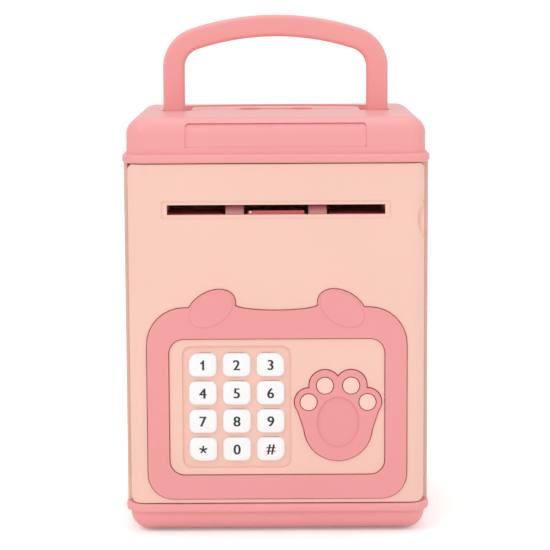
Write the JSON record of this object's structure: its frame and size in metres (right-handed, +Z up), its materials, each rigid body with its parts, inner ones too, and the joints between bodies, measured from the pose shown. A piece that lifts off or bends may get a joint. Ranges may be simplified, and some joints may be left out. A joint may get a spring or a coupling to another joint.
{
  "type": "toy safe coin bank",
  "caption": "Upright toy safe with a side-hinged keypad door, sprung keys, a paw-shaped button, a motor-driven note feeder, a coin slot and a fold-down carrying handle.",
  "frame": {"origin": "middle of the underside, where the feet rest", "axes": "+Z up, -Y out of the door, +X to the right as seen from the front"},
  "size_m": [0.13, 0.12, 0.22],
  "materials": {
    "pink_shell": "satin moulded ABS",
    "peach_shell": "satin moulded ABS",
    "pink_bezel": "satin moulded ABS",
    "paw_pink": "satin moulded ABS",
    "key_white": null,
    "lens": "diffusing lens",
    "roller_rubber": "matt rubber",
    "foot_rubber": "matt rubber",
    "inner_plastic": "fine spark texture",
    "white_plastic": "matt",
    "steel": "bright zinc plate",
    "board": "glass-fibre laminate with solder mask",
    "silicone": "matt silicone",
    "cell": "printed sleeve, plain"
  },
  "bodies": {
    "case": {"body_shell": "peach_shell", "base_tray": "pink_shell", "floor_plate": "peach_shell", "rubber_feet": "foot_rubber", "base_screws": "steel", "lid_cover": "pink_shell", "lid_liner": "pink_shell", "coin_chute": "white_plastic", "lid_screws": "steel", "strike_plate": "steel", "hinge_pins": "steel", "handle_pins": "steel"},
    "carry_handle": {"handle": "pink_shell"},
    "door": {"door_panel": "peach_shell", "face_frame": "pink_bezel", "door_back_cover": "peach_shell", "cover_screws": "steel", "main_board": "board", "board_screws": "steel", "keypad_membrane": "silicone", "paw_switch": "inner_plastic", "indicator_leds": "white_plastic", "toe_lenses": "lens", "speaker": "inner_plastic", "battery_box": "peach_shell", "battery_cover": "peach_shell", "battery_screw": "steel", "batteries": "cell", "battery_contacts": "steel", "note_guide_lower": "inner_plastic", "note_guide_upper": "inner_plastic", "note_sensor": "white_plastic", "feed_motor": "steel", "lock_motor": "steel", "latch_guide": "inner_plastic", "paw_spring": "steel"},
    "drive_roller": {"roller_shaft": "steel", "feed_rollers": "roller_rubber", "roller_gear": "white_plastic"},
    "idler": {"idler_gear": "white_plastic"},
    "motor_pinion": {"feed_pinion": "steel"},
    "pinch_roller": {"pinch_shaft": "steel", "pinch_rollers": "roller_rubber"},
    "bolt": {"latch_bolt": "steel"},
    "bolt_pinion": {"lock_pinion": "white_plastic"},
    "paw": {"paw_button": "paw_pink"},
    "key_1_button": {"key_1": "key_white"},
    "key_2_button": {"key_2": "key_white"},
    "key_3_button": {"key_3": "key_white"},
    "key_4_button": {"key_4": "key_white"},
    "key_5_button": {"key_5": "key_white"},
    "key_6_button": {"key_6": "key_white"},
    "key_7_button": {"key_7": "key_white"},
    "key_8_button": {"key_8": "key_white"},
    "key_9_button": {"key_9": "key_white"},
    "key_star_button": {"key_star": "key_white"},
    "key_0_button": {"key_0": "key_white"},
    "key_hash_button": {"key_hash": "key_white"}
  },
  "joints": [
    {"name": "handle_fold", "type": "hinge", "parent": "case", "child": "carry_handle", "pos_m": [0, 0, 0.174], "axis": [-1, 0, 0], "range_deg": [0, 90]},
    {"name": "door_hinge", "type": "hinge", "parent": "case", "child": "door", "pos_m": [-0.0562, -0.052, 0.086], "axis": [0, 0, -1], "range_deg": [0, 110]},
    {"name": "feed_roller_spin", "type": "hinge", "parent": "door", "child": "drive_roller", "pos_m": [0, -0.049, 0.1342], "axis": [1, 0, 0], "continuous": true},
    {"name": "idler_spin", "type": "hinge", "parent": "door", "child": "idler", "pos_m": [-0.0507, -0.0465, 0.12058], "axis": [1, 0, 0], "continuous": true},
    {"name": "motor_spin", "type": "hinge", "parent": "door", "child": "motor_pinion", "pos_m": [-0.0507, -0.0465, 0.10973], "axis": [1, 0, 0], "continuous": true},
    {"name": "pinch_roller_spin", "type": "hinge", "parent": "door", "child": "pinch_roller", "pos_m": [0, -0.049, 0.1443], "axis": [1, 0, 0], "continuous": true},
    {"name": "bolt_slide", "type": "slide", "parent": "door", "child": "bolt", "axis": [1, 0, 0], "range_m": [0, 0.004]},
    {"name": "bolt_pinion_spin", "type": "hinge", "parent": "door", "child": "bolt_pinion", "pos_m": [0.04386, -0.04638, 0.107], "axis": [0, 0, -1], "range_deg": [0, 80]},
    {"name": "paw_press", "type": "slide", "parent": "door", "child": "paw", "axis": [0, 1, 0], "range_m": [0, 0.0008], "stiffness_N_per_m": 500, "deforming": ["paw_spring"]},
    {"name": "key_1_press", "type": "slide", "parent": "door", "child": "key_1_button", "axis": [0, 1, 0], "range_m": [0, 0.001], "stiffness_N_per_m": 300},
    {"name": "key_2_press", "type": "slide", "parent": "door", "child": "key_2_button", "axis": [0, 1, 0], "range_m": [0, 0.001], "stiffness_N_per_m": 300},
    {"name": "key_3_press", "type": "slide", "parent": "door", "child": "key_3_button", "axis": [0, 1, 0], "range_m": [0, 0.001], "stiffness_N_per_m": 300},
    {"name": "key_4_press", "type": "slide", "parent": "door", "child": "key_4_button", "axis": [0, 1, 0], "range_m": [0, 0.001], "stiffness_N_per_m": 300},
    {"name": "key_5_press", "type": "slide", "parent": "door", "child": "key_5_button", "axis": [0, 1, 0], "range_m": [0, 0.001], "stiffness_N_per_m": 300},
    {"name": "key_6_press", "type": "slide", "parent": "door", "child": "key_6_button", "axis": [0, 1, 0], "range_m": [0, 0.001], "stiffness_N_per_m": 300},
    {"name": "key_7_press", "type": "slide", "parent": "door", "child": "key_7_button", "axis": [0, 1, 0], "range_m": [0, 0.001], "stiffness_N_per_m": 300},
    {"name": "key_8_press", "type": "slide", "parent": "door", "child": "key_8_button", "axis": [0, 1, 0], "range_m": [0, 0.001], "stiffness_N_per_m": 300},
    {"name": "key_9_press", "type": "slide", "parent": "door", "child": "key_9_button", "axis": [0, 1, 0], "range_m": [0, 0.001], "stiffness_N_per_m": 300},
    {"name": "key_star_press", "type": "slide", "parent": "door", "child": "key_star_button", "axis": [0, 1, 0], "range_m": [0, 0.001], "stiffness_N_per_m": 300},
    {"name": "key_0_press", "type": "slide", "parent": "door", "child": "key_0_button", "axis": [0, 1, 0], "range_m": [0, 0.001], "stiffness_N_per_m": 300},
    {"name": "key_hash_press", "type": "slide", "parent": "door", "child": "key_hash_button", "axis": [0, 1, 0], "range_m": [0, 0.001], "stiffness_N_per_m": 300}
  ],
  "couplings": [
    {"joint": "idler_spin", "follows": "feed_roller_spin", "ratio": -0.76923},
    {"joint": "motor_spin", "follows": "feed_roller_spin", "ratio": 2},
    {"joint": "pinch_roller_spin", "follows": "feed_roller_spin", "ratio": -2.0625},
    {"joint": "bolt_pinion_spin", "follows": "bolt_slide", "rad_per_m": 333.33}
  ]
}
